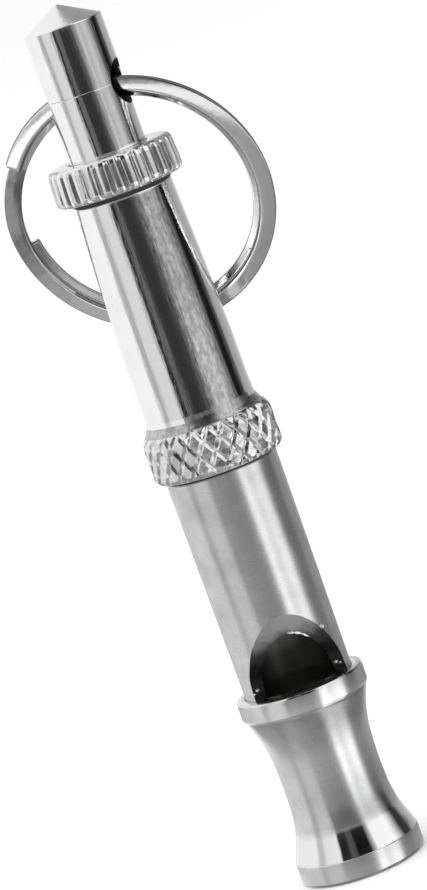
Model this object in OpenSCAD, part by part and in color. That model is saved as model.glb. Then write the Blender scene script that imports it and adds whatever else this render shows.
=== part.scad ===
// Adjustable high-frequency training whistle: a turned mouthpiece, a slotted
// resonator tube, a screwed sleeve with a tuning plunger, a lock nut and a
// two-turn split ring. Units are millimetres. The whistle's axis is Z, the
// mouthpiece's end face is z = 0 and the window faces -Y.

/* [Mouthpiece] */
// Diameter of the air inlet
inlet_d = 6.4; // [5:0.1:6.8]
// Diameter of the flange held in the teeth
flange_d = 11.34; // [11:0.02:12]
// Width of the flange's plain band
flange_w = 1.9; // [1.4:0.1:2.2]

/* [Resonator tube] */
// Bore of the resonator
bore_d = 8; // [7.9:0.05:8.1]
// Depth of the window's flat below the tube's surface
window_depth = 2.45; // [2:0.05:2.7]
// Length of the windway block
plug_len = 2.9; // [2:0.1:2.9]
// Radial height of the windway slot
windway_h = 1.45; // [1:0.05:1.8]

/* [Sleeve] */
// Diameter over the diamond knurl
knurl_d = 11.7; // [11.5:0.05:12]
// Number of knurl grooves in each direction
knurl_n = 24; // [16:1:30]
// Depth of the knurl grooves
knurl_depth = 0.26; // [0.2:0.02:0.36]
// Helix angle of the knurl grooves
knurl_angle = 33; // [25:1:40]

/* [Tuning rod] */
// Diameter of the rod's head
rod_d = 6.96; // [6.9:0.02:7]
// Length of the rod's pointed tip
tip_len = 2.05; // [1:0.05:3]
// Diameter of the cross hole for the ring
hole_d = 3.6; // [3.4:0.05:3.8]
// Angle of the cross hole about the whistle's axis
hole_angle = -17.2; // [-40:0.1:0]
// Screw pitch of the threads
pitch = 0.75; // [0.5:0.25:1]

/* [Lock nut] */
// Diameter of the lock nut
nut_d = 11.5; // [11:0.1:11.8]
// Number of straight grooves around the nut
nut_n = 30; // [20:1:36]
// Depth of the nut's grooves
nut_groove = 0.34; // [0.2:0.02:0.4]
// Width of the nut's grooves at the rim
nut_groove_w = 0.44; // [0.3:0.02:0.5]

/* [Split ring] */
// Outside diameter of the ring
ring_od = 24; // [23:0.1:24.6]
// Width of the ring's wire across the ring's plane
wire_w = 1.5; // [1.3:0.05:1.6]
// Thickness of each coil
wire_t = 0.64; // [0.5:0.02:0.7]
// Angle the ring hangs away from the whistle's axis
ring_tilt = 15; // [15:0.5:30]

/* [Hidden] */
$fn = 96;

inlet_r = inlet_d / 2;
flange_r = flange_d / 2;
bore_r = bore_d / 2;
rod_r = rod_d / 2;
hole_r = hole_d / 2;
nut_r = nut_d / 2;
knurl_r = knurl_d / 2;

// heights along the axis
seat_z = 14.5;      // floor of the mouthpiece's socket
lip_z = 17.4;       // rim of the socket
tube_top = 37.6;    // top face of the resonator tube
gasket_t = 0.2;
sleeve_z = tube_top + gasket_t;
sleeve_top = 62.9;
washer_t = 0.35;
nut_z = sleeve_top + washer_t;
nut_top = 66.55;
nut_floor = 64.5;   // floor of the nut's recess
head_z = 65.4;      // shoulder under the rod's head
tip_z = 80;
hole_z = 71.96;
piston_z = 24;      // lower face of the piston
piston_top = 26.6;

// the ring's two turns and the step between them
coil_off = wire_t / 2 + 0.015;
coil_in = 0.6;      // how far the back turn sits inside the front one
step_side = coil_in / 2 / sin(19.5);
ring_shift = 0.25;
ring_drop = ring_od / 2 - 1;
step_tilt = atan(coil_off / ((ring_od - coil_in - wire_w) / 2 * sin(19.5)));
// the step's own centre is moved sideways, which carries its arc round by this angle
step_lag = atan(step_side * cos(19.5) / ((ring_od - coil_in - wire_w) / 2));
step_mid = 163.5 - step_lag;

// radii along the resonator tube
tube_r0 = 4.88;     // in the socket
tube_r1 = 5.03;     // under the sleeve
thread_r = 4.4;     // screwed bore at the tube's top
nipple_z = 34.8;    // lower end of the sleeve's nipple
thread_floor = 33.6;
rod_thread_r = 3.0;
rod_bore_r = 3.03;
shank_r = 2.2;
spigot_r = 1.5;

// ring of V section cut around a threaded shank
module thread_grooves(r, depth, z0, z1, p) {
    turns = floor((z1 - z0) / p);
    for (i = [0 : turns - 1])
        translate([0, 0, z0 + (i + 0.5) * p])
            rotate_extrude()
                polygon([[r - depth, -0.02], [r + 0.1, -0.5 * p + 0.03],
                         [r + 0.1, 0.5 * p - 0.03], [r - depth, 0.02]]);
}

// Turned mouthpiece: flange, hollow waist and the socket collar
module mouthpiece() color([0.74, 0.74, 0.76])
    rotate_extrude()
        polygon([
            [inlet_r, 0.4], [inlet_r + 0.4, 0], [flange_r - 0.35, 0], [flange_r, 0.35],
            [flange_r, flange_w], [flange_r - 0.12, 2.2], [5.48, 2.65], [5.24, 3.15],
            [4.98, 3.8], [4.76, 4.55], [4.6, 5.35], [4.5, 6.15], [4.44, 7.4],
            [4.42, 8.6], [4.45, 10], [4.52, 11.2], [4.64, 12.15], [4.82, 13.05],
            [5.06, 13.9], [5.34, 14.7], [5.6, 15.35], [5.74, 15.6], [5.78, 15.95],
            [5.78, 16.85], [5.66, 17.22], [5.4, lip_z], [5.06, lip_z], [tube_r0, lip_z - 0.18],
            [tube_r0, seat_z], [inlet_r, seat_z]]);

// Tube whose front is cut away to make the window and its sloping lip
module resonator_tube() color([0.72, 0.72, 0.74])
    difference() {
        rotate_extrude()
            polygon([[bore_r, seat_z], [tube_r0, seat_z], [tube_r0, lip_z],
                     [tube_r1, tube_top - 0.1], [tube_r1 - 0.1, tube_top],
                     [thread_r, tube_top], [thread_r, thread_floor],
                     [bore_r, thread_floor - 0.3]]);
        // ramp down to the lip, then the flat that opens the window
        rotate([0, 0, 3]) rotate([90, 0, 90]) linear_extrude(height = 14, center = true)
            polygon([[-8, seat_z - 1], [-tube_r0 + window_depth, seat_z - 1],
                     [-tube_r0 + window_depth, 17.4], [-tube_r0 + window_depth - 0.06, 18.5],
                     [-tube_r0 + window_depth - 0.24, 19.5], [-4.06, 22.55],
                     [-4.93, 24.35], [-8, 24.35 + 3]]);
    }

// Block that closes the tube's end and leaves the windway slot in front
module windway_plug() color([0.6, 0.6, 0.62])
    difference() {
        translate([0, 0, lip_z - plug_len]) cylinder(r = bore_r, h = plug_len);
        rotate([0, 0, 3]) {
            // flat that forms the slot's inner wall
            translate([-6, -10 - tube_r0 + windway_h, seat_z - 1]) cube([12, 10, 5]);
            // undercut that lets breath into the slot
            rotate([90, 0, 90]) linear_extrude(height = 14, center = true)
                polygon([[-8, lip_z - plug_len - 1], [-0.6, lip_z - plug_len - 1],
                         [-0.6, lip_z - plug_len], [-tube_r0 + windway_h, lip_z - 0.8],
                         [-8, lip_z - 0.8]]);
        }
    }

// Thin fibre gasket clamped between the tube and the sleeve
module sleeve_gasket() color([0.12, 0.11, 0.1])
    translate([0, 0, tube_top]) difference() {
        cylinder(r = tube_r1 - 0.12, h = gasket_t);
        translate([0, 0, -1]) cylinder(r = thread_r + 0.02, h = gasket_t + 2);
    }

// Straight V grooves crossing each other round the collar
module diamond_knurl()
    for (i = [0 : knurl_n - 1], s = [-1, 1])
        rotate([0, 0, i * 360 / knurl_n])
            translate([knurl_r - knurl_depth, 0, 39.85])
                rotate([s * knurl_angle, 0, 0]) rotate([0, 0, -45])
                    translate([0, 0, -4]) cube([1.2, 1.2, 8]);

// Sleeve: knurled collar, tapering barrel, screwed nipple and rod thread
module threaded_sleeve() color([0.82, 0.82, 0.84])
    difference() {
        rotate_extrude()
            polygon([
                [3.3, nipple_z], [4.22, nipple_z], [4.37, nipple_z + 0.15],
                [4.37, tube_top - 0.4], [4.25, tube_top - 0.3], [4.25, sleeve_z],
                [knurl_r - 0.5, sleeve_z], [knurl_r, sleeve_z + 0.45],
                [knurl_r, 41.75], [knurl_r - 0.3, 42.25], [5.1, 42.7], [4.93, 42.95],
                [4.89, 43.6], [4.865, 48.9], [4.79, 51.5], [4.735, 53.25],
                [4.666, 56.1], [4.545, 59.3], [4.45, 61.9], [4.4, 62.75],
                [4.28, sleeve_top], [rod_bore_r + 0.25, sleeve_top],
                [rod_bore_r, sleeve_top - 0.25], [rod_bore_r, 52.9], [3.3, 52.6]]);
        diamond_knurl();
        thread_grooves(4.37, 0.25, nipple_z + 0.2, tube_top - 0.4, pitch);
    }

// Thin fibre washer under the lock nut
module nut_washer() color([0.14, 0.13, 0.12])
    translate([0, 0, sleeve_top]) difference() {
        cylinder(r = 4.5, h = washer_t);
        translate([0, 0, -1]) cylinder(r = 3.1, h = washer_t + 2);
    }

// Grooved lock nut with a recess over the rod's shoulder
module lock_nut() color([0.82, 0.82, 0.84])
    difference() {
        rotate_extrude()
            polygon([[rod_bore_r, nut_z], [nut_r - 0.3, nut_z], [nut_r, nut_z + 0.3],
                     [nut_r, nut_z + 0.9], [nut_r - 0.1, nut_top - 0.55],
                     [nut_r - 0.22, nut_top - 0.2], [nut_r - 0.5, nut_top],
                     [rod_r + 0.12, nut_top], [rod_r + 0.12, nut_floor],
                     [rod_bore_r, nut_floor]]);
        for (i = [0 : nut_n - 1])
            rotate([0, 0, i * 360 / nut_n])
                translate([nut_r, 0, nut_z - 1])
                    linear_extrude(height = 6)
                        polygon([[-nut_groove, -0.03], [-nut_groove, 0.03],
                                 [0.4, nut_groove_w * 0.9], [0.4, -nut_groove_w * 0.9]]);
    }

// Tuning rod: pointed head with the ring's hole, screw and plain shank
module adjusting_rod() color([0.84, 0.84, 0.86])
    difference() {
        rotate_extrude()
            polygon([[0, 24.3], [spigot_r, 24.3], [spigot_r, piston_top],
                     [shank_r, piston_top], [shank_r, 49.6], [2.7, 50],
                     [rod_thread_r, 50.25], [rod_thread_r, head_z - 0.6],
                     [2.72, head_z - 0.4], [2.72, head_z],
                     [rod_r - 0.15, head_z], [rod_r, head_z + 0.15],
                     [rod_r, tip_z - tip_len], [0.12, tip_z - 0.03], [0, tip_z]]);
        thread_grooves(rod_thread_r, 0.32, 50.4, head_z - 0.65, pitch);
        // cross hole with a chamfer at each mouth
        translate([0, 0, hole_z]) rotate([0, 0, hole_angle]) rotate([0, 90, 0]) {
            cylinder(r = hole_r, h = 12, center = true);
            for (s = [0, 1]) mirror([0, 0, s]) translate([0, 0, 2.6])
                cylinder(r1 = hole_r, r2 = hole_r + 0.9, h = 1.8);
        }
    }

// Piston pressed on the rod's spigot, with a groove for its seal
module piston() color([0.66, 0.6, 0.45])
    rotate_extrude()
        polygon([[spigot_r, piston_z], [bore_r - 0.2, piston_z], [bore_r - 0.06, piston_z + 0.15],
                 [bore_r - 0.06, 24.86], [3.24, 24.86], [3.24, 25.74],
                 [bore_r - 0.06, 25.74], [bore_r - 0.06, piston_top - 0.15],
                 [bore_r - 0.2, piston_top], [spigot_r, piston_top]]);

// Rubber ring that seals the piston in the bore
module piston_seal() color([0.08, 0.08, 0.08])
    translate([0, 0, 25.3]) rotate_extrude()
        translate([3.62, 0]) circle(r = 0.35);

// flat section of the ring's wire with eased corners, outer edge at radius ro
module wire_section(ro) {
    ri = ro - wire_w;
    h = wire_t / 2;
    polygon([[ri, 0.15 - h], [ri + 0.25, -h], [ro - 0.25, -h], [ro, 0.15 - h],
             [ro, h - 0.15], [ro - 0.25, h], [ri + 0.25, h], [ri, h - 0.15]]);
}

// Split ring: two flat turns, the back one a little further in, joined by a slanting step.
// The front turn's free end is at 144 degrees and the back turn's at 183; both stand clear of the step.
module split_ring() color([0.8, 0.8, 0.82])
    translate([0, 0, hole_z]) rotate([0, 0, hole_angle]) rotate([ring_tilt, 0, 0])
        translate([ring_shift, 0, -ring_drop]) rotate([90, 0, 0]) {
            translate([0, 0, coil_off])
                rotate([0, 0, 181.3]) rotate_extrude(angle = 322.7) wire_section(ring_od / 2);
            translate([0, 0, -coil_off])
                rotate([0, 0, 183]) rotate_extrude(angle = 322.7) wire_section(ring_od / 2 - coil_in);
            translate([step_side * cos(step_mid + 90), step_side * sin(step_mid + 90), 0])
                rotate([0, 0, step_mid]) rotate([step_tilt, 0, 0]) rotate([0, 0, -18.8])
                    rotate_extrude(angle = 37.6) wire_section((ring_od - coil_in) / 2);
        }

mouthpiece();
resonator_tube();
windway_plug();
sleeve_gasket();
threaded_sleeve();
nut_washer();
lock_nut();
adjusting_rod();
piston();
piston_seal();
split_ring();
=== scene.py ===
import math

import bmesh
import bpy
import numpy as np
from mathutils import Matrix, Vector


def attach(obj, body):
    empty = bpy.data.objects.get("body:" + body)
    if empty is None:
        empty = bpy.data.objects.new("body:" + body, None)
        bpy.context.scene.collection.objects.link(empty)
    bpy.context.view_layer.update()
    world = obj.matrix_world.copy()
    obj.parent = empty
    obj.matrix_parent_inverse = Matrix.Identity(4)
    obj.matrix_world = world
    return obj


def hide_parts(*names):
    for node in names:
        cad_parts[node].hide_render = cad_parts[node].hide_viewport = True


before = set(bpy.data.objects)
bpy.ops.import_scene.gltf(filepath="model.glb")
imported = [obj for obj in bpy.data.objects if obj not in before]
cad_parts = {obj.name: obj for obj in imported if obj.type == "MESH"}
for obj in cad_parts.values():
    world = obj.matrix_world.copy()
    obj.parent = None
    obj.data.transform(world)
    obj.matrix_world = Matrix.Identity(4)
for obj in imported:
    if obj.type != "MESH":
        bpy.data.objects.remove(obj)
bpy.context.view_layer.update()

MM = 0.001
TAU = 2 * math.pi


# ---------------------------------------------------------------- mesh helpers
def rounded(pts, seg=5, closed=True):
    """(r, z, fillet) corners turned into a line with arcs at the corners."""
    out = []
    n = len(pts)
    for i, (r, z, f) in enumerate(pts):
        p = np.array([r, z], float)
        if f <= 0 or (not closed and i in (0, n - 1)):
            out.append(p)
            continue
        u = np.array(pts[i - 1][:2], float) - p
        v = np.array(pts[(i + 1) % n][:2], float) - p
        lu, lv = np.linalg.norm(u), np.linalg.norm(v)
        u, v = u / lu, v / lv
        ang = math.acos(max(-1.0, min(1.0, float(u @ v))))
        if ang > math.pi - 0.02:
            out.append(p)
            continue
        t = min(f / math.tan(ang / 2), 0.48 * lu, 0.48 * lv)
        f = t * math.tan(ang / 2)
        c = p + (u + v) / np.linalg.norm(u + v) * (f / math.sin(ang / 2))
        s, e = p + u * t, p + v * t
        a0 = math.atan2(s[1] - c[1], s[0] - c[0])
        a1 = math.atan2(e[1] - c[1], e[0] - c[0])
        d = (a1 - a0 + math.pi) % TAU - math.pi
        for k in range(seg + 1):
            a = a0 + d * k / seg
            out.append(c + f * np.array([math.cos(a), math.sin(a)]))
    return np.array(out)


def spline(pts, step=0.12):
    """Catmull-Rom through open (r, z) points."""
    p = np.array(pts, float)
    p = np.vstack([2 * p[0] - p[1], p, 2 * p[-1] - p[-2]])
    out = []
    for i in range(1, len(p) - 2):
        n = max(2, int(np.linalg.norm(p[i + 1] - p[i]) / step))
        for k in range(n):
            t = k / n
            out.append(
                0.5
                * (
                    2 * p[i]
                    + (p[i + 1] - p[i - 1]) * t
                    + (2 * p[i - 1] - 5 * p[i] + 4 * p[i + 1] - p[i + 2]) * t * t
                    + (3 * p[i] - p[i - 1] - 3 * p[i + 1] + p[i + 2]) * t ** 3
                )
            )
    out.append(p[-2])
    return np.array(out)


def grid_mesh(name, rings, closed_profile, split=None):
    """rings[i][j] are points in mm; j runs round the axis. Poles are single points."""
    verts, index = [], []
    for ring in rings:
        if len(ring) == 1:
            index.append([len(verts)])
            verts.append(ring[0])
        else:
            index.append(list(range(len(verts), len(verts) + len(ring))))
            verts.extend(ring)
    faces = []
    m = len(rings)
    for i in range(m if closed_profile else m - 1):
        a, b = index[i], index[(i + 1) % m]
        if len(a) == 1 and len(b) == 1:
            continue
        n = max(len(a), len(b))
        for j in range(n):
            k = (j + 1) % n
            if len(a) == 1:
                faces.append((a[0], b[k], b[j]))
            elif len(b) == 1:
                faces.append((a[j], a[k], b[0]))
            elif split is not None and split(i, j) is not None:
                if split(i, j):
                    faces.append((a[j], a[k], b[k]))
                    faces.append((a[j], b[k], b[j]))
                else:
                    faces.append((a[j], a[k], b[j]))
                    faces.append((a[k], b[k], b[j]))
            else:
                faces.append((a[j], a[k], b[k], b[j]))
    return mesh_obj(name, np.array(verts, float), faces)


def mesh_obj(name, verts, faces):
    me = bpy.data.meshes.new(name)
    me.from_pydata([tuple(v) for v in np.asarray(verts, float) * MM], [], faces)
    me.update()
    bm = bmesh.new()
    bm.from_mesh(me)
    bmesh.ops.recalc_face_normals(bm, faces=bm.faces)
    if bm.calc_volume(signed=True) < 0:
        bmesh.ops.reverse_faces(bm, faces=bm.faces)
    bm.to_mesh(me)
    bm.free()
    ob = bpy.data.objects.new(name, me)
    bpy.context.scene.collection.objects.link(ob)
    return ob


def lathe(name, profile, n=256, closed=True):
    th = np.arange(n) * TAU / n
    c, s = np.cos(th), np.sin(th)
    rings = []
    for r, z in profile:
        if r < 1e-6:
            rings.append([np.array([0, 0, z])])
        else:
            rings.append(np.stack([r * c, r * s, np.full(n, z)], 1))
    return grid_mesh(name, rings, closed)


def shade(ob, angle=30, weighted=True):
    me = ob.data
    me.polygons.foreach_set("use_smooth", [True] * len(me.polygons))
    me.set_sharp_from_angle(angle=math.radians(angle))
    if weighted:
        w = ob.modifiers.new("normals", "WEIGHTED_NORMAL")
        w.keep_sharp = True
        w.weight = 50
        w.mode = "FACE_AREA"
    return ob


def cut(ob, tools):
    """Boolean difference, applied."""
    for t in tools:
        b = ob.modifiers.new("cut", "BOOLEAN")
        b.operation = "DIFFERENCE"
        b.solver = "EXACT"
        b.object = t
    bpy.context.view_layer.update()
    dg = bpy.context.evaluated_depsgraph_get()
    me = bpy.data.meshes.new_from_object(ob.evaluated_get(dg))
    ob.modifiers.clear()
    ob.data = me
    for t in tools:
        bpy.data.objects.remove(t, do_unlink=True)
    return ob


def prism_x(name, pts, x0, x1, turn=0.0):
    """Closed (y, z) outline drawn out along X, then turned about Z."""
    n = len(pts)
    v = [(x0, y, z) for y, z in pts] + [(x1, y, z) for y, z in pts]
    f = [tuple(range(n - 1, -1, -1)), tuple(range(n, 2 * n))]
    f += [(i, (i + 1) % n, n + (i + 1) % n, n + i) for i in range(n)]
    a = math.radians(turn)
    v = [
        (x * math.cos(a) - y * math.sin(a), x * math.sin(a) + y * math.cos(a), z)
        for x, y, z in v
    ]
    return mesh_obj(name, v, f)


# ------------------------------------------------------------------- materials
def nodes_of(mat):
    mat.use_nodes = True
    t = mat.node_tree
    t.nodes.clear()
    out = t.nodes.new("ShaderNodeOutputMaterial")
    b = t.nodes.new("ShaderNodeBsdfPrincipled")
    t.links.new(b.outputs[0], out.inputs[0])
    return t, b


def ramp(t, fac, stops, mode="LINEAR"):
    r = t.nodes.new("ShaderNodeValToRGB")
    r.color_ramp.interpolation = mode
    e = r.color_ramp.elements
    while len(e) < len(stops):
        e.new(0.5)
    for k, (pos, v) in enumerate(stops):
        e[k].position = pos
        e[k].color = (*v, 1) if isinstance(v, tuple) else (v, v, v, 1)
    t.links.new(fac, r.inputs[0])
    return r.outputs[0]


def noise(t, vec, scale, detail=3, rough=0.5, dist=0.0):
    n = t.nodes.new("ShaderNodeTexNoise")
    n.inputs["Scale"].default_value = scale
    n.inputs["Detail"].default_value = detail
    n.inputs["Roughness"].default_value = rough
    n.inputs["Distortion"].default_value = dist
    t.links.new(vec, n.inputs["Vector"])
    return n.outputs[0]


def math_node(t, op, a, b=None, c=None):
    m = t.nodes.new("ShaderNodeMath")
    m.operation = op
    for k, v in enumerate((a, b, c)):
        if v is None:
            continue
        if isinstance(v, (int, float)):
            m.inputs[k].default_value = v
        else:
            t.links.new(v, m.inputs[k])
    return m.outputs[0]


def scaled(t, vec, s):
    m = t.nodes.new("ShaderNodeMapping")
    m.inputs["Scale"].default_value = s
    t.links.new(vec, m.inputs["Vector"])
    return m.outputs[0]


def mix_rgb(t, fac, a, b, mode="MIX"):
    m = t.nodes.new("ShaderNodeMix")
    m.data_type = "RGBA"
    m.blend_type = mode
    for sock, v in ((m.inputs[0], fac), (m.inputs[6], a), (m.inputs[7], b)):
        if isinstance(v, (int, float)):
            sock.default_value = v
        elif isinstance(v, tuple):
            sock.default_value = (*v, 1)
        else:
            t.links.new(v, sock)
    return m.outputs[2]


def metal(name, col, rough, dark=0.9, rough_var=0.05, lines=0.0, ripple=0.0, pits=0.0, line_scale=9000, aniso=0.0, streaks=0.0, painted_shading=None, painted_shading_span=40.0, mottled_shade=0.0, fine_col=None, fine_rough=0.1, fine_zones=None):
    """Plated metal: mottled colour and gloss, turning lines round the axis, fine ripple, pits, with optional painted
    light and shade by height and painted mottled shade.
    """
    mat = bpy.data.materials.new(name)
    t, b = nodes_of(mat)
    b.inputs["Metallic"].default_value = 1.0
    if aniso:  # turning marks round the axis spread the light along it
        b.inputs["Anisotropic"].default_value = aniso
        b.inputs["Anisotropic Rotation"].default_value = 0.25
        tan = t.nodes.new("ShaderNodeTangent")
        tan.direction_type = "RADIAL"
        tan.axis = "Z"
        t.links.new(tan.outputs[0], b.inputs["Tangent"])
    co = t.nodes.new("ShaderNodeTexCoord").outputs["Object"]
    cloud = noise(t, co, 420, 4, 0.6)
    fine = noise(t, co, 2600, 3, 0.6)
    ring = noise(t, scaled(t, co, (120, 120, line_scale)), 1.0, 2, 0.6)
    base = ramp(t, cloud, [(0.3, tuple(c * dark for c in col)), (0.7, col)])
    base = mix_rgb(t, math_node(t, "MULTIPLY", fine, 0.12), base, tuple(c * 0.8 for c in col))
    height = None
    if pits > 0:
        v = t.nodes.new("ShaderNodeTexVoronoi")
        v.inputs["Scale"].default_value = 900
        t.links.new(co, v.inputs["Vector"])
        spot = ramp(t, v.outputs["Distance"], [(0.05, 1.0), (0.13, 0.0)])
        gate = ramp(t, noise(t, co, 700, 1), [(0.6, 0.0), (0.66, 1.0)])
        pit = math_node(t, "MULTIPLY", spot, gate)
        base = mix_rgb(t, math_node(t, "MULTIPLY", pit, pits), base, tuple(c * 0.35 for c in col))
        height = math_node(t, "MULTIPLY", pit, -0.6)
    if painted_shading:  # painted light and shade by height, as the listed heights give (the milled cut darkens towards its lower end); heights in mm
        sz = t.nodes.new("ShaderNodeSeparateXYZ")
        t.links.new(co, sz.inputs[0])
        wob = math_node(t, "ADD", math_node(t, "DIVIDE", sz.outputs[2], painted_shading_span * MM), math_node(t, "MULTIPLY", math_node(t, "SUBTRACT", noise(t, co, 900, 3), 0.5), 0.05))
        base = mix_rgb(t, 1.0, base, ramp(t, wob, [(z / painted_shading_span, v) for z, v in painted_shading]), "MULTIPLY")
    if mottled_shade:  # painted mottled shade: blotches drawn out along the axis
        blot = noise(t, scaled(t, co, (3000, 3000, 1300)), 1.0, 3, 0.6)
        base = mix_rgb(t, 1.0, base, ramp(t, blot, [(0.38, 1.0 - mottled_shade), (0.6, 1.0)]), "MULTIPLY")
    rr = ramp(t, cloud, [(0.3, rough - rough_var * 0.5), (0.7, rough + rough_var * 0.5)])
    rr = math_node(t, "ADD", rr, math_node(t, "MULTIPLY", math_node(t, "SUBTRACT", ring, 0.5), rough_var))
    if fine_zones:  # finer turned zones along the axis, heights in mm
        sf = t.nodes.new("ShaderNodeSeparateXYZ")
        t.links.new(co, sf.inputs[0])
        zf = math_node(t, "ADD", math_node(t, "DIVIDE", sf.outputs[2], 0.02), math_node(t, "MULTIPLY", math_node(t, "SUBTRACT", noise(t, co, 1500, 3), 0.5), 0.02))
        f = ramp(t, zf, [(z / 20.0, v) for z, v in fine_zones])
        base = mix_rgb(t, f, base, fine_col)
        rr = math_node(t, "ADD", rr, math_node(t, "MULTIPLY", f, math_node(t, "SUBTRACT", fine_rough, rr)))
    t.links.new(base, b.inputs["Base Color"])
    t.links.new(rr, b.inputs["Roughness"])
    h = math_node(t, "MULTIPLY", ring, lines)
    if ripple:
        h = math_node(t, "ADD", h, math_node(t, "MULTIPLY", noise(t, co, 1300, 2), ripple))
    if streaks:  # polishing marks along the axis
        h = math_node(t, "ADD", h, math_node(t, "MULTIPLY", noise(t, scaled(t, co, (2600, 2600, 260)), 1.0, 4, 0.6), streaks))
    if height is not None:
        h = math_node(t, "ADD", h, height)
    bump = t.nodes.new("ShaderNodeBump")
    bump.inputs["Strength"].default_value = 0.5
    bump.inputs["Distance"].default_value = 0.00002
    t.links.new(h, bump.inputs["Height"])
    t.links.new(bump.outputs[0], b.inputs["Normal"])
    return mat


def fibre_like(name, col, rough, scale):
    mat = bpy.data.materials.new(name)
    t, b = nodes_of(mat)
    co = t.nodes.new("ShaderNodeTexCoord").outputs["Object"]
    n1 = noise(t, scaled(t, co, (1, 1, 3)), scale, 5, 0.7)
    t.links.new(ramp(t, n1, [(0.3, tuple(c * 0.6 for c in col)), (0.75, tuple(c * 1.5 for c in col))]), b.inputs["Base Color"])
    t.links.new(ramp(t, n1, [(0.3, rough - 0.1), (0.7, rough)]), b.inputs["Roughness"])
    bump = t.nodes.new("ShaderNodeBump")
    bump.inputs["Strength"].default_value = 0.4
    bump.inputs["Distance"].default_value = 0.00003
    t.links.new(n1, bump.inputs["Height"])
    t.links.new(bump.outputs[0], b.inputs["Normal"])
    return mat


POLISHED = metal("polished_nickel", (0.88, 0.88, 0.885), 0.05, 0.94, 0.03, lines=0.03, ripple=0.55, pits=0.7, streaks=1.5)
NUT_METAL = metal("nut_nickel", (0.84, 0.84, 0.845), 0.2, 0.9, 0.06, lines=0.2, ripple=1.6, pits=0.4)
KNURL_METAL = metal("knurl_nickel", (0.84, 0.84, 0.845), 0.22, 0.78, 0.1, lines=0.0, ripple=2.6, pits=0.6)
RING_STEEL = metal("ring_steel", (0.91, 0.91, 0.915), 0.11, 0.9, 0.06, lines=0.0, ripple=0.8, pits=0.3)
# the same wire, rougher and with painted shade where it crosses from turn to turn, at its inner end and along its rims
RING_CROSS_SHADE = metal("ring_steel_crossing_painted_shade", (0.91, 0.91, 0.915), 0.2, 0.8, 0.08, lines=0.0, ripple=1.2, pits=0.4,
    painted_shading=((54.8, 1.0), (57.5, 0.85), (60.2, 0.5), (61.8, 0.3), (65.4, 0.3), (66.8, 0.44), (68.2, 0.7)), painted_shading_span=80.0)
RING_END_SHADE = metal("ring_steel_end_painted_shade", (0.91, 0.91, 0.915), 0.2, 0.8, 0.08, lines=0.0, ripple=1.2, pits=0.4,
    painted_shading=((50.2, 1.0), (52.6, 0.8), (56.0, 0.64), (62.0, 0.52)), painted_shading_span=80.0)
RING_RIM_SHADE = metal("ring_steel_rim_painted_shade", (0.34, 0.34, 0.345), 0.24, 0.75, 0.08, lines=0.0, ripple=1.2, pits=0.4)
# painted reflection: one side of the barrel gets a lighter, mottled colour that darkens towards the top
BARREL_REFLECTION = metal("polished_nickel_painted_reflection", (0.93, 0.93, 0.935), 0.07, 0.9, 0.06, lines=0.05, ripple=0.8, pits=0.9, streaks=2.0, mottled_shade=0.36,
    painted_shading=((43.0, 1.06), (48.5, 1.06), (53.5, 0.95), (58.0, 0.84), (62.6, 0.82)), painted_shading_span=80.0)
# painted shade: the concave shoulder above the knurl gets a darker base, reaching higher on one side; its roughness and
# ripple are the turned finish
COLLAR_SHADE = metal("collar_nickel_painted_shade", (0.64, 0.64, 0.645), 0.27, 0.7, 0.1, lines=0.0, ripple=3.0, pits=0.6, mottled_shade=0.3)
SATIN = metal("satin_nickel", (0.67, 0.67, 0.675), 0.26, 0.8, 0.07, lines=0.2, ripple=0.12, pits=0.3, aniso=0.85)
SATIN_MOUTH = metal(
    "satin_nickel_mouthpiece", (0.67, 0.67, 0.675), 0.26, 0.8, 0.07, lines=0.1, ripple=0.12, pits=0.3, aniso=0.85,
    fine_col=(0.78, 0.78, 0.785), fine_rough=0.09, fine_zones=((1.9, 0.0), (2.1, 1.0), (4.15, 1.0), (4.95, 0.0), (15.3, 0.0), (15.5, 0.5), (17.4, 0.5)),
)
# painted light and shade on the milled cut: near black at its lower end, lighter than the metal at its top; its
# roughness and tool lines are the milled finish
MILLED = metal("milled_nickel", (0.72, 0.72, 0.72), 0.3, 0.85, 0.06, lines=0.5, ripple=1.4, pits=0.4, painted_shading=((20.2, 0.05), (21.4, 0.16), (22.1, 0.45), (22.8, 1.0), (24.5, 1.18)))
# painted shade: the insides of the bores are made dark grey
BORE_SHADE = metal("bore_metal_painted_shade", (0.3, 0.295, 0.29), 0.36, 0.6, 0.1, lines=0.8, ripple=0.8, pits=0.2)
# painted shade: the cross hole's walls are made near black
HOLE_SHADE = metal("cross_hole_painted_shade", (0.05, 0.048, 0.046), 0.4, 0.7, 0.1, lines=0.0, ripple=0.8, pits=0.2)
# painted shade: the windway plug, deep inside the window, is made near black
PLUG_SHADE = metal("plug_metal", (0.12, 0.118, 0.115), 0.4, 0.6, 0.12, lines=0.0, ripple=3.0, pits=0.4)
# burrs in a bright, rough finish that paints their highlight
BURR_HIGHLIGHT = metal("burr_painted_highlight", (0.97, 0.97, 0.97), 0.42, 0.95, 0.06, lines=0.0, ripple=1.0, pits=0.0)
BRASS = metal("brass", (0.78, 0.6, 0.3), 0.3, 0.9, 0.08, lines=1.0, ripple=0.4)
FIBRE = fibre_like("fibre", (0.035, 0.033, 0.031), 0.85, 2500)
RUBBER = fibre_like("seal_rubber", (0.02, 0.02, 0.02), 0.55, 1200)


def put(ob, body, nodes, mat):
    ob.data.materials.clear()
    ob.data.materials.append(mat)
    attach(ob, body)
    if nodes:
        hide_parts(*nodes)
    return ob


def second(ob, mat, test):
    """Another finish on the faces whose centre (mm) and normal pass the test."""
    me = ob.data
    me.materials.append(mat)
    k = len(me.materials) - 1
    for p in me.polygons:
        if test(p.center / MM, p.normal):
            p.material_index = k


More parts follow.
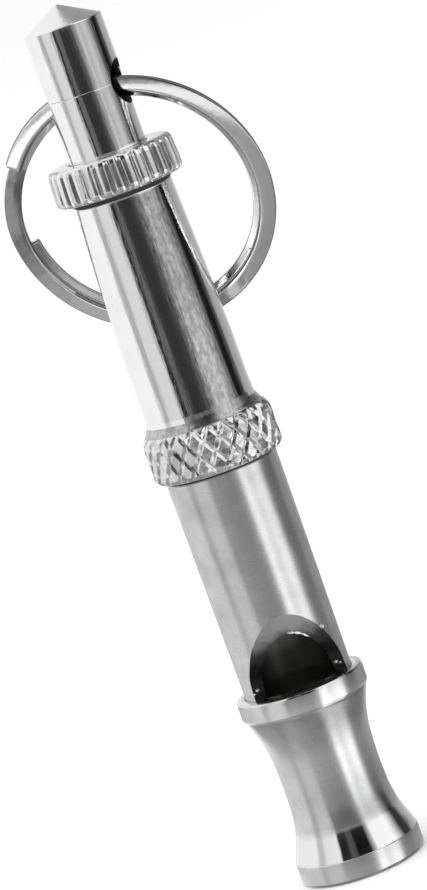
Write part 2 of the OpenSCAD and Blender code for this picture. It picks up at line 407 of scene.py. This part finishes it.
# -------------------------------------------------------------------- mouthpiece
flare = spline([(5.6, 2.05), (5.41, 2.62), (5.11, 3.45), (4.79, 4.45)], 0.1)
side = spline(
    [
        (4.79, 4.45), (4.635, 5.2), (4.5, 6.15), (4.44, 7.4), (4.42, 8.6), (4.45, 10), (4.52, 11.2), (4.64, 12.15),
        (4.82, 13.05), (5.06, 13.9), (5.34, 14.7), (5.585, 15.32),
    ],
    0.1,
)
low = rounded([(3.2, 0.4, 0.08), (3.6, 0.0, 0.12), (5.4, 0, 0.1), (5.66, 0.28, 0.12), (5.67, 2.0, 0.04), (5.6, 2.05, 0)], 5, False)
high = rounded(
    [
        (5.585, 15.32, 0), (5.73, 15.52, 0.08), (5.78, 15.75, 0.12), (5.78, 17.2, 0.05), (5.69, 17.36, 0.05),
        (5.35, 17.4, 0.06), (5.02, 17.4, 0.06), (4.88, 17.18, 0.04), (4.88, 14.5, 0), (3.2, 14.5, 0),
    ],
    5, False,
)
prof = np.vstack([low[:-1], flare, side[1:], high[1:]])
mouth = shade(lathe("mouthpiece_body", prof, 288), 32)
put(mouth, "whistle_body", ["mouthpiece"], SATIN_MOUTH)
# painted shade inside the mouthpiece's bore
second(mouth, BORE_SHADE, lambda c, n: math.hypot(c.x, c.y) < 3.3 and c.z > 0.6)

# ---------------------------------------------------------------- resonator tube
prof = rounded(
    [
        (4.0, 14.5, 0), (4.88, 14.5, 0.05), (4.88, 17.4, 0), (4.95, 27.0, 0), (5.03, 37.4, 0), (5.03, 37.5, 0), (4.95, 37.6, 0.03),
        (4.4, 37.6, 0.04), (4.4, 33.6, 0), (4.0, 33.3, 0),
    ],
    4,
)
tube = lathe("tube_body", prof, 288)
# the window: a sloping ramp that eases into a flat
ramp_line = [(-2.43, 13.5), (-2.43, 17.4), (-2.49, 18.4)] + [
    tuple(p) for p in spline([(-2.49, 18.4), (-2.66, 19.4), (-3.1, 20.5), (-3.6, 21.65), (-4.06, 22.55), (-4.5, 23.42), (-5.06, 24.55)], 0.07)[1:]
]
cutter = prism_x("window_cutter", [(-9, 13.5)] + ramp_line + [(-9, 24.55)], -8, 8, 3)
tube = shade(cut(tube, [cutter]), 24)
WIN = math.radians(3)


def on_ramp(c, n):
    """Faces of the window's flat and ramp, judged in the window's own turned frame."""
    y = -c.x * math.sin(WIN) + c.y * math.cos(WIN)
    nx = n.x * math.cos(WIN) + n.y * math.sin(WIN)
    ny = -n.x * math.sin(WIN) + n.y * math.cos(WIN)
    return 14.6 < c.z < 24.6 and y < -2.35 and ny < -0.3 and abs(nx) < 0.1 and math.hypot(c.x, c.y) < 4.93


for f in tube.data.polygons:  # the ramp keeps its own facets, which are finer than a tool mark
    if on_ramp(f.center / MM, f.normal):
        f.use_smooth = False
put(tube, "whistle_body", ["resonator_tube"], SATIN)
# the ramp takes the milled finish with its painted shade
second(tube, MILLED, on_ramp)
# painted shade inside the tube's bore
second(tube, BORE_SHADE, lambda c, n: math.hypot(c.x, c.y) < 4.03 and n.x * c.x + n.y * c.y < 0)


def add_part(ob, part, mat):
    """Adds a small closed shell to a piece with its own finish."""
    ob.data.materials.append(mat)
    k = len(ob.data.materials) - 1
    for f in part.data.polygons:
        f.material_index = k
        f.use_smooth = True
    bm = bmesh.new()
    bm.from_mesh(ob.data)
    bm.from_mesh(part.data)
    bm.to_mesh(ob.data)
    bm.free()
    bpy.data.objects.remove(part, do_unlink=True)


def ramp_z(y):
    """Height of the ramp at depth y."""
    q = sorted((p for p in ramp_line if p[1] > 18.3), key=lambda p: p[0])
    return float(np.interp(y, [p[0] for p in q], [p[1] for p in q]))


# ragged edge of metal left along the top of the opening, in a bright finish that makes it a painted highlight
rng = np.random.default_rng(7)
xs = np.linspace(0.25, 2.05, 34)
wob = np.convolve(rng.uniform(0.25, 1.5, 40), np.ones(2) / 2, "valid")[:34]
sag = np.convolve(rng.uniform(-0.07, 0.07, 40), np.ones(3) / 3, "valid")[:34]
rings = []
for i, x in enumerate(xs):
    y = -math.sqrt(16.0 - x * x)
    zc = ramp_z(y)
    e = min(i, 33 - i) / 5.0
    w = 0.155 * wob[i] * min(1.0, 0.25 + e)
    ring = []
    for k in range(10):
        a = k * TAU / 10
        px, py, pz = x, y - 0.02 + 0.07 * math.cos(a), zc + 0.03 + sag[i] + w * math.sin(a)
        ring.append((px * math.cos(WIN) - py * math.sin(WIN), px * math.sin(WIN) + py * math.cos(WIN), pz))
    rings.append(np.array(ring))
m, n = len(rings), 10
faces = [tuple(range(n)), tuple(range((m - 1) * n, m * n))[::-1]]
faces += [(i * n + j, (i + 1) * n + j, (i + 1) * n + (j + 1) % n, i * n + (j + 1) % n) for i in range(m - 1) for j in range(n)]
add_part(tube, mesh_obj("edge_burr", np.vstack(rings), faces), BURR_HIGHLIGHT)
# burr specks at the corners of the cut, in the same bright finish as painted glints
for bx, by, bz, br in ((-3.6, -2.78, 18.35, 0.2), (-3.95, -2.75, 18.05, 0.13), (3.6, -2.5, 18.35, 0.2), (3.95, -2.4, 18.15, 0.13), (3.5, -3.72, 21.95, 0.22)):
    blob = lathe("speck", [(0, -br)] + [(br * math.cos(a) * (1 + 0.15 * math.sin(5 * a)), br * 0.8 * math.sin(a)) for a in np.linspace(-1.3, 1.3, 9)] + [(0, br)], 14, False)
    blob.data.transform(Matrix.Translation((bx * MM, by * MM, bz * MM)))
    add_part(tube, blob, BURR_HIGHLIGHT)

# ---------------------------------------------------------------- windway plug
plug = lathe("plug_body", rounded([(0, 14.5, 0), (3.99, 14.5, 0.05), (3.99, 17.4, 0.06), (0, 17.4, 0)], 3, False), 192, False)
cutter = prism_x(
    "plug_cutter",
    [(-9, 13), (-0.6, 13), (-0.6, 14.5), (-3.43, 16.6), (-3.43, 18), (-9, 18)],
    -8, 8, 3,
)
plug = shade(cut(plug, [cutter]), 30)
# the plug's near-black colour is painted shade
put(plug, "whistle_body", ["windway_plug"], PLUG_SHADE)

# ---------------------------------------------------------------- gasket, washer
gasket = shade(lathe("sleeve_gasket_ring", rounded([(4.42, 37.6, 0), (4.9, 37.6, 0.05), (4.9, 37.8, 0.05), (4.42, 37.8, 0)], 3), 192), 40)
put(gasket, "gasket_carrier", ["sleeve_gasket"], FIBRE)
washer = shade(lathe("nut_washer_ring", rounded([(3.1, 62.9, 0), (4.48, 62.9, 0.08), (4.48, 63.25, 0.08), (3.1, 63.25, 0)], 3), 192), 40)
put(washer, "washer_carrier", ["nut_washer"], FIBRE)

# ------------------------------------------------------------------------ sleeve
KN, KR, KSUB = 24, 5.85, 20
KV = (TAU * KR / KN) / math.tan(math.radians(33))  # height of one diamond
KDEPTH, KHALF = 0.2, 4 / KSUB


def band_r(z):
    """Radius of the knurled band, which rounds over at its top."""
    return float(np.interp(z, [38.32, 40.9, 41.25, 41.6, 41.85, 42.03], [5.85, 5.85, 5.82, 5.71, 5.57, 5.43]))


def knurl_radius(theta, z, r):
    """Radius where two families of V grooves cross on a surface of radius r."""
    a = theta * KN / TAU
    b = (z - 39.85) / KV
    g = 0.0
    for q in (a - b, a + b):
        d = np.abs(q - np.round(q))
        g = np.maximum(g, 1 - d / KHALF)
    uneven = 0.86 + 0.26 * np.sin(7 * theta + 2.1 * z) * np.sin(5.1 * z - 4 * theta) + 0.12 * np.sin(19 * theta - 3 * z)
    ends = min(1.0, max(0.0, min((z - 37.82) / 0.2, (42.08 - z) / 0.15)))
    return r - KDEPTH * uneven * ends * np.clip(g, 0, 1)


def thread_radius(theta, z, crest, depth, z0, z1, pitch=0.75):
    """Rounded helical thread that fades out at both ends."""
    ph = (z / pitch - theta / TAU) % 1.0
    w = np.clip(np.abs(ph - 0.5) * 2.6 - 0.3, 0, 1)
    w = w * w * (3 - 2 * w)
    fade = np.clip(min(z - z0, z1 - z) / 0.25, 0, 1)
    return crest - depth * (1 - w * 1.0) * fade - depth * 0.5 * (1 - fade)


def rings_of(profile, n, mods):
    """Rings for a profile whose rows between given heights get a radius function."""
    th = np.arange(n) * TAU / n
    c, s = np.cos(th), np.sin(th)
    rings = []
    for r, z in profile:
        if r < 1e-6:
            rings.append([np.array([0, 0, z])])
            continue
        rr = np.full(n, r)
        for z0, z1, rmin, fn in mods:
            if z0 <= z <= z1 and r >= rmin:
                rr = fn(th, z, r)
        rings.append(np.stack([rr * c, rr * s, np.full(n, z)], 1))
    return rings


def rows(z0, z1, step):
    n = max(1, int(round(abs(z1 - z0) / step)))
    return np.linspace(z0, z1, n + 1)


# the knurled band's own outline, with rows on the diamond lattice
band_top = rounded(
    [
        (5.43, 42.03, 0), (5.36, 42.12, 0.04), (5.29, 42.1, 0.02), (5.26, 42.25, 0.04), (5.12, 42.5, 0.15), (5.0, 42.85, 0.4),
        (4.93, 43.25, 0.6), (4.885, 44.3, 0),
    ],
    4, False,
)[1:]
kz = 39.85 + np.arange(-60, 60) * KV / KSUB
kz = kz[(kz > 38.32) & (kz < 42.0)]
band_low = rounded([(4.3, 37.8, 0), (5.4, 37.8, 0.1), (5.6, 37.86, 0.15), (5.85, 38.22, 0.15), (5.85, 38.32, 0)], 4, False)
upper = spline([(4.885, 44.3), (4.875, 46.5), (4.862, 48.9), (4.79, 51.5), (4.735, 53.25), (4.666, 56.1), (4.545, 59.3), (4.45, 61.9), (4.425, 62.55)], 0.5)
top = rounded([(4.425, 62.55, 0), (4.415, 62.72, 0.12), (4.3, 62.9, 0.08), (3.28, 62.9, 0.05), (3.04, 62.66, 0), (3.04, 52.9, 0), (3.3, 52.6, 0), (3.3, 34.8, 0.05)], 4, False)
nip = [(3.35, 34.8), (4.1, 34.8), (4.22, 34.85), (4.28, 34.92)]
nip += [(4.37, z) for z in rows(34.98, 37.25, 0.75 / 16)] + [(4.25, 37.3), (4.25, 37.8)]
prof = np.vstack([np.array(nip), band_low[1:], np.array([(band_r(z), z) for z in kz]), [(5.43, 42.03)], band_top, upper[1:], top[1:]])
NS = KN * KSUB
mods = [
    (37.82, 42.2, 5.3, lambda th, z, r: knurl_radius(th, z, r)),
    (34.97, 37.26, 4.3, lambda th, z, r: thread_radius(th, z, 4.37, 0.26, 34.97, 37.26)),
]
rings = rings_of(prof, NS, mods)
krow = set(i for i, (r, z) in enumerate(prof) if 38.3 < z < 42.01 and r > 5.3)


def knurl_split(i, j):
    """Which way a face of the band folds, so that groove edges stay straight."""
    if i not in krow or (i + 1) not in krow:
        return None
    k = (j + 1) % NS
    a, b = rings[i], rings[i + 1]
    ra = [math.hypot(p[0], p[1]) for p in (a[j], a[k], b[k], b[j])]
    th = (j + 0.5) * TAU / NS
    z = (a[j][2] + b[j][2]) / 2
    mid = float(knurl_radius(np.array([th]), z, band_r(z))[0])
    d0, d1 = (ra[0] + ra[2]) / 2, (ra[1] + ra[3]) / 2
    if abs(d0 - d1) < 1e-6:
        return None
    return abs(d0 - mid) < abs(d1 - mid)


sleeve = shade(grid_mesh("sleeve_body", rings, True, knurl_split), 24)
put(sleeve, "sleeve", ["threaded_sleeve"], POLISHED)
second(sleeve, KNURL_METAL, lambda c, n: 37.7 < c.z < 42.12 and math.hypot(c.x, c.y) > 4.94)
# painted reflection on one side of the barrel, from 9 to 40 degrees round
second(sleeve, BARREL_REFLECTION, lambda c, n: 42.8 < c.z < 62.6 and math.hypot(c.x, c.y) > 4.3 and 9 < math.degrees(math.atan2(c.x, -c.y)) < 40)
# painted shade on the shoulder above the knurl, taller on one side
second(sleeve, COLLAR_SHADE, lambda c, n: 42.03 < c.z < (43.3 if -19.5 < math.degrees(math.atan2(c.x, -c.y)) < 60 else 42.7) and math.hypot(c.x, c.y) > 4.88)
# painted shade inside the sleeve's bore
second(sleeve, BORE_SHADE, lambda c, n: math.hypot(c.x, c.y) < 3.35)

# ---------------------------------------------------------------------- lock nut
NP = 30
cell = np.radians([-6, -5.2, -4.4, -3.6, -3.0, -2.55, -2.2, -0.3, 0.3, 2.2, 2.55, 3.0, 3.6, 4.4, 5.2])
groove = np.array([0, 0.004, 0.014, 0.031, 0.05, 0.075, 0.12, 0.36, 0.36, 0.12, 0.075, 0.05, 0.031, 0.014, 0.004])
nth = np.concatenate([cell + k * TAU / NP for k in range(NP)])
ng = np.tile(groove, NP)
nprof = rounded(
    [
        (3.04, 63.25, 0.0), (5.4, 63.25, 0.08), (5.66, 63.42, 0.15), (5.75, 63.8, 0.4), (5.72, 64.6, 0), (5.64, 66.0, 0.5), (5.5, 66.36, 0.25),
        (5.22, 66.55, 0.12), (3.62, 66.55, 0.06), (3.6, 64.5, 0), (3.04, 64.5, 0),
    ],
    6,
)
rings = []
for r, z in nprof:
    # the grooves are cut straight down the rim, so the chamfers only meet their deep part
    rr = np.minimum(r - np.minimum(ng, 0.05), 5.75 - ng) if r > 5.15 else np.full(len(nth), r)
    if r > 5.15:
        rr = np.where(ng < 0.06, r - ng, rr)
    rings.append(np.stack([rr * np.cos(nth), rr * np.sin(nth), np.full(len(nth), z)], 1))
nut = shade(grid_mesh("lock_nut_body", rings, True), 26)
put(nut, "nut", ["lock_nut"], NUT_METAL)

# ----------------------------------------------------------------- adjusting rod
rp = [(0, 24.3), (1.5, 24.3), (1.5, 26.6), (2.15, 26.6), (2.2, 26.65), (2.2, 49.6), (2.72, 50.0)]
rp += [(3.0, z) for z in rows(50.1, 64.85, 0.75 / 14)]
rp += [(2.72, 64.95), (2.72, 65.4)]
rp = np.array(rp)
head = rounded(
    [
        (2.72, 65.4, 0), (3.36, 65.4, 0.05), (3.47, 65.52, 0.06), (3.465, 68.0, 0), (3.475, 71.0, 0), (3.475, 72.06, 0), (3.45, 72.11, 0), (3.485, 72.16, 0), (3.49, 74, 0), (3.5, 78.08, 0.12),
        (0.0, 80.0, 0),
    ],
    5, False,
)
# fine steps near the shoulder and a softly blunted point
head = np.vstack([head[:-1], [(0.42, 79.765), (0.26, 79.845), (0.12, 79.89), (0, 79.905)]])
prof = np.vstack([rp, head[1:]])
mods = [(50.05, 64.9, 2.9, lambda th, z, r: thread_radius(th, z, 3.0, 0.34, 50.05, 64.9))]
rod = grid_mesh("rod_body", rings_of(prof, 256, mods), False)
HOLE_Z, HOLE_A = 71.96, math.radians(-17.2)


def along_hole(name, profile, n=128):
    """Lathe whose axis is the cross hole's."""
    ob = lathe(name, profile, n, False)
    m = Matrix.Translation((0, 0, HOLE_Z * MM)) @ Matrix.Rotation(HOLE_A, 4, "Z") @ Matrix.Rotation(math.pi / 2, 4, "Y")
    ob.data.transform(m)
    return ob


hole = along_hole(
    "hole_cutter",
    np.array([(0, -6), (2.6, -6), (2.3, -4.4), (1.9, -2.95), (1.84, -2.72), (1.8, -2.5), (1.8, 2.5), (1.84, 2.72), (1.9, 2.95), (2.3, 4.4), (2.6, 6), (0, 6)]),
)
rod = shade(cut(rod, [hole]), 26)
put(rod, "rod", ["adjusting_rod"], POLISHED)


def in_hole(c, n):
    x = c.x * math.cos(HOLE_A) + c.y * math.sin(HOLE_A)
    y = -c.x * math.sin(HOLE_A) + c.y * math.cos(HOLE_A)
    return math.hypot(y, c.z - HOLE_Z) < 2.3 and math.hypot(c.x, c.y) < 3.42 and abs(x) < 3.5


# painted shade on the cross hole's walls
second(rod, HOLE_SHADE, in_hole)

# ------------------------------------------------------------------ piston, seal
piston = shade(
    lathe(
        "piston_body",
        rounded(
            [
                (1.5, 24.0, 0.05), (3.94, 24.0, 0.12), (3.94, 24.86, 0.04), (3.24, 24.86, 0.05), (3.24, 25.74, 0.05), (3.94, 25.74, 0.04),
                (3.94, 26.6, 0.12), (1.5, 26.6, 0),
            ],
            4,
        ),
        192,
    ),
    32,
)
put(piston, "rod", ["piston"], BRASS)
tt = np.linspace(0, TAU, 25)[:-1]
seal = shade(lathe("piston_seal_ring", np.stack([3.62 + 0.35 * np.cos(tt), 25.3 + 0.35 * np.sin(tt)], 1), 160), 60, False)
put(seal, "seal_carrier", ["piston_seal"], RUBBER)

# -------------------------------------------------------------------- split ring
RO, WIRE_W, COIL_IN, TH, OFF = 11.98, 1.5, 0.6, 0.64, 0.335
TILT, SHIFT, DROP = math.radians(15), 0.25, 11.0


US = np.array([0, 0.012, 0.04, 0.09, 0.15, 0.21, 0.25, 0.28, 0.31, 0.36, 0.45, 0.55, 0.65, 0.75, 0.83, 0.89, 0.94, 0.975, 0.992, 1.0])
CROWN = np.array([0.0, 0.28, 0.58, 0.84, 0.93, 0.98, 1.0, 1.0, 0.985, 0.954, 0.887, 0.804, 0.713, 0.613, 0.53, 0.465, 0.398, 0.303, 0.208, 0.105])
BEVEL = np.interp(US, [0, 0.012, 0.04, 0.4, 0.45, 0.94, 0.975, 0.992, 1.0], [-0.05, 0.28, 0.5, 0.93, 1.0, 1.0, 0.96, 0.86, 0.6])
FLAT = 1 - np.interp(US, [0, 0.012, 0.04, 0.09, 0.94, 0.975, 0.992, 1.0], [0.45, 0.22, 0.08, 0.0, 0.0, 0.08, 0.2, 0.4])


def wire_outline(c):
    """Section of the wire, front (-) and back (+) faces; c is 0 on the front turn and 1 on the back one."""
    front = -(CROWN * (1 - c) + BEVEL * c)
    back = FLAT * (1 - c) + CROWN * c
    # the rims meet without a fold
    for k in (0, -1):
        if back[k] - front[k] < 0.2:
            m = (back[k] + front[k]) / 2
            front[k], back[k] = m - 0.1, m + 0.1
    return list(zip(US, front)) + list(zip(US[::-1], back[::-1]))


def ease(x):
    x = min(1.0, max(0.0, x))
    return x * x * (3 - 2 * x)


def ring_world(p):
    """Point in the ring's own plane (x, depth, up) to the whistle's frame."""
    x, y, z = p[0] + SHIFT, p[1], p[2] - DROP
    y, z = y * math.cos(TILT) - z * math.sin(TILT), y * math.sin(TILT) + z * math.cos(TILT)
    c, s = math.cos(HOLE_A), math.sin(HOLE_A)
    return np.array([x * c - y * s, x * s + y * c, z + HOLE_Z])


steps = np.concatenate([np.arange(0, 681, 0.8), [681.0]])
rings = []
for s in steps:
    alpha = math.radians(144 - s)
    cross = ease((s - 322) / 37)
    y0 = -OFF + 2 * OFF * cross
    ro = RO - COIL_IN * ease((s - 326) / 60)
    end = min(s, 681 - s)
    k = 1 - 0.16 * max(0.0, 1 - end / 1.0) ** 2
    ring = []
    for u, v in wire_outline(cross):
        rr = ro - WIRE_W / 2 + WIRE_W * (u - 0.5) * k
        ring.append(ring_world((rr * math.cos(alpha), y0 + v * TH / 2 * k, rr * math.sin(alpha))))
    rings.append(np.array(ring))
verts = np.vstack(rings)
m, n = len(rings), len(rings[0])
faces = [tuple(range(n)), tuple(range((m - 1) * n, m * n))[::-1]]
for i in range(m - 1):
    for j in range(n):
        k = (j + 1) % n
        faces.append((i * n + j, (i + 1) * n + j, (i + 1) * n + k, i * n + k))
ring = shade(mesh_obj("split_ring_wire", verts, faces), 60)
put(ring, "ring", ["split_ring"], RING_STEEL)
for extra in (RING_CROSS_SHADE, RING_END_SHADE, RING_RIM_SHADE):
    ring.data.materials.append(extra)
RIM_SIDES = {0, 1, 2, 3, 16, 17, 18, 19}  # front face's two edges and the outer side, as wire_outline lists them
# painted shade: the crossing of the turns, the front turn's rims and the wire's inner end take the darkened copies of
# the wire
for i in range(m - 1):
    for j in range(n):
        p = ring.data.polygons[2 + i * n + j]
        if 288 < steps[i] < 360:
            p.material_index = 1
        elif j in RIM_SIDES and steps[i] < 322:
            p.material_index = 3
        elif steps[i] > 600:
            p.material_index = 2

# ------------------------------------------------------------- floor, light, camera
bpy.ops.mesh.primitive_plane_add(size=14, location=(0, 2, 0))
floor = bpy.context.object
floor.name = "studio_floor"
fm = bpy.data.materials.new("floor_paper")
t, b = nodes_of(fm)
co = t.nodes.new("ShaderNodeTexCoord").outputs["Object"]
t.links.new(ramp(t, noise(t, co, 3, 2), [(0.3, 0.96), (0.7, 0.985)]), b.inputs["Base Color"])
b.inputs["Roughness"].default_value = 0.9
floor.data.materials.append(fm)
floor.visible_glossy = False

# studio surround: soft boxes and dark flags as bands round the whistle
world = bpy.data.worlds.new("studio")
bpy.context.scene.world = world
world.use_nodes = True
t = world.node_tree
t.nodes.clear()
out = t.nodes.new("ShaderNodeOutputWorld")
bg = t.nodes.new("ShaderNodeBackground")
t.links.new(bg.outputs[0], out.inputs[0])
d = t.nodes.new("ShaderNodeTexCoord").outputs["Generated"]
sep = t.nodes.new("ShaderNodeSeparateXYZ")
t.links.new(d, sep.inputs[0])
az = math_node(t, "ARCTAN2", sep.outputs[0], math_node(t, "MULTIPLY", sep.outputs[1], -1.0))
azf = math_node(t, "ADD", math_node(t, "DIVIDE", az, TAU), 0.5)
el = math_node(t, "MULTIPLY", math_node(t, "ARCSINE", sep.outputs[2]), 180 / math.pi)


def bands(stops):
    return [((a + 180) / 360, v) for a, v in stops]


# level belt: what upright polished faces mirror
belt = ramp(
    t, azf,
    bands([
        (-180, 0.95), (-168, 1.0), (-88, 1.05), (-83, 0.62), (-78, 0.45), (-72, 0.5), (-67, 0.78), (-44, 0.8), (-38, 0.45), (-35, 0.012),
        (-31, 0.015), (-28, 0.15), (-20, 0.15), (-15, 0.04), (0, 0.035), (12, 0.05), (22, 0.17), (30, 0.38), (37, 0.68), (45, 0.5),
        (58, 0.65), (70, 0.42), (80, 0.2), (90, 0.01), (102, 0.012), (112, 0.12), (118, 0.38), (145, 0.5), (160, 0.7), (180, 0.95),
    ]),
)
# table: a bright strip in front of the whistle that falls off below
near = ramp(
    t, azf,
    bands([
        (-180, 0.72), (-150, 0.62), (-88, 0.66), (-78, 0.55), (-68, 0.7), (-42, 0.7), (-30, 0.6), (10, 0.5), (24, 0.7), (31, 2.0), (38, 1.9), (46, 1.4),
        (54, 1.4), (62, 1.7), (73, 1.7), (80, 0.7), (86, 0.36), (125, 0.31), (150, 0.31), (168, 0.34), (180, 0.6),
    ]),
)
far = ramp(t, azf, bands([(-180, 0.38), (-150, 0.32), (-100, 0.34), (-60, 0.45), (-20, 0.3), (20, 0.32), (34, 0.7), (74, 0.7), (86, 0.25), (130, 0.25), (180, 0.42)]))
# room: white to the left, a black block ahead and another to the right
room = ramp(
    t, azf,
    bands([
        (-180, 1.0), (-88, 1.05), (-80, 0.65), (-72, 0.65), (-66, 0.95), (-38, 1.0), (-34, 0.01), (-20, 0.02), (-14, 0.1), (-6, 0.08), (-2, 0.004), (22, 0.006),
        (30, 0.5), (36, 1.15), (74, 1.2), (84, 0.75), (92, 0.35), (99, 0.01), (114, 0.01), (122, 0.15), (140, 0.3), (168, 0.4), (180, 0.75),
    ]),
)
elf = math_node(t, "ADD", math_node(t, "DIVIDE", el, 180.0), 0.5)


def level(e):
    return (e + 90) / 180


def step_up(e0, e1):
    return ramp(t, elf, [(level(e0), 0.0), (level(e1), 1.0)])


strip = mix_rgb(t, 1.0, near, (1.75, 1.75, 1.75), "MULTIPLY")
dim = mix_rgb(t, 1.0, near, (0.62, 0.62, 0.62), "MULTIPLY")
sky = mix_rgb(t, step_up(-48, -38), far, dim)
sky = mix_rgb(t, step_up(-26, -22), sky, strip)
sky = mix_rgb(t, step_up(-14.5, -12.5), sky, dim)
sky = mix_rgb(t, step_up(-11, -9), sky, belt)
mid_grey = ramp(
    t, azf,
    bands([
        (-180, 1.0), (-88, 1.05), (-80, 0.65), (-72, 0.65), (-66, 0.95), (-38, 0.9), (-32, 0.36), (22, 0.34), (28, 0.6), (36, 1.15), (74, 1.2), (84, 0.75),
        (92, 0.35), (99, 0.04), (114, 0.04), (122, 0.15), (140, 0.3), (168, 0.4), (180, 0.75),
    ]),
)
sky = mix_rgb(t, step_up(2.5, 5.5), sky, mid_grey)
sky = mix_rgb(t, step_up(14, 18), sky, room)
sky = mix_rgb(t, step_up(62, 70), sky, (0.9, 0.9, 0.9))
lp = t.nodes.new("ShaderNodeLightPath")
soft = mix_rgb(t, lp.outputs["Is Glossy Ray"], (1.0, 1.0, 1.0), sky)
t.links.new(soft, bg.inputs["Color"])
bg.inputs["Strength"].default_value = 1.0


def area(name, loc, target, size, power):
    li = bpy.data.lights.new(name, "AREA")
    li.shape = "RECTANGLE"
    li.size, li.size_y = size
    li.energy = power
    ob = bpy.data.objects.new(name, li)
    ob.location = loc
    ob.rotation_euler = (Vector(target) - Vector(loc)).to_track_quat("-Z", "Y").to_euler()
    bpy.context.scene.collection.objects.link(ob)
    ob.visible_glossy = False
    return ob


area("soft_top", (-0.25, -0.2, 0.9), (0, 0, 0.03), (0.7, 0.7), 3.0)

cam_data = bpy.data.cameras.new("camera")
cam_data.sensor_width = 36
cam_data.sensor_fit = "AUTO"
cam_data.lens = 4691.99 * 36 / 890
cam_data.clip_start = 0.01
cam_data.clip_end = 30
cam = bpy.data.objects.new("camera", cam_data)
bpy.context.scene.collection.objects.link(cam)
pitch, roll = -0.15177, -0.34550
fw = Vector((0, math.cos(pitch), math.sin(pitch)))
right = fw.cross(Vector((0, 0, 1))).normalized()
up = right.cross(fw)
cx = math.cos(roll) * right + math.sin(roll) * up
cy = -math.sin(roll) * right + math.cos(roll) * up
cam.matrix_world = Matrix(
    (
        (cx.x, cy.x, -fw.x, 0.0),
        (cx.y, cy.y, -fw.y, -0.401976),
        (cx.z, cy.z, -fw.z, 0.100979),
        (0, 0, 0, 1),
    )
)
bpy.context.scene.camera = cam
bpy.context.scene.view_settings.view_transform = "Standard"
